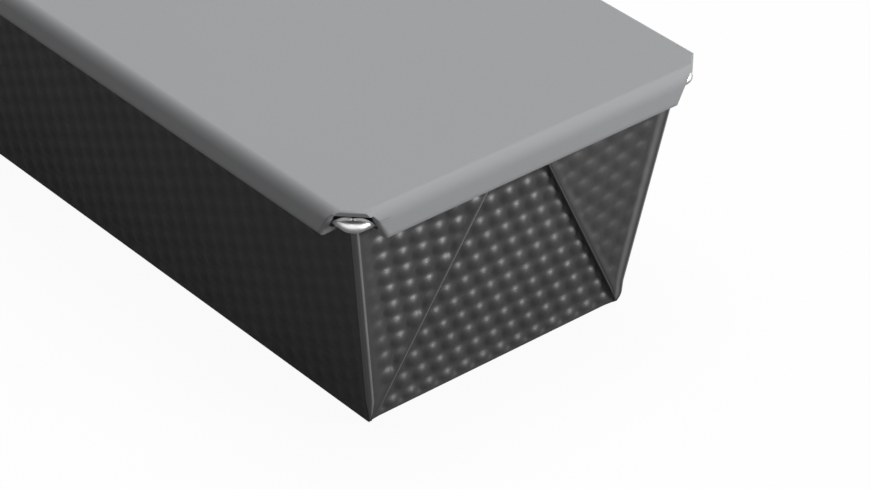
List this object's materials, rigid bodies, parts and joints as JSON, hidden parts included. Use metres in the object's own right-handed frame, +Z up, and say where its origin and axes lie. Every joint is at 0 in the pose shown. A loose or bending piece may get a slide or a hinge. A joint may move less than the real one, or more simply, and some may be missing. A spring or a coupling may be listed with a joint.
{
  "type": "lidded loaf pan",
  "caption": "Flared rectangular loaf pan folded from embossed coated sheet steel with gusset flaps, a wire-rolled rim, and a soft lift-off lid with notched corners",
  "frame": {"origin": "Centre of the flat bottom's footprint, on the table", "axes": "+X along the length of the pan, +Y across it, +Z up"},
  "size_m": [0.3116, 0.1266, 0.0801],
  "materials": {
    "coated_steel": "satin dark non-stick coating on embossed sheet steel",
    "bright_wire": "bright drawn wire",
    "lid_silicone": "matte moulded grey silicone"
  },
  "bodies": {
    "pan": {"folded_pan": "coated_steel", "rim_wire": "bright_wire"},
    "lid": {"lid": "lid_silicone"}
  },
  "joints": [
    {"name": "lid_lift", "type": "slide", "parent": "pan", "child": "lid", "axis": [0, 0, 1], "range_m": [0, 0.1]}
  ]
}
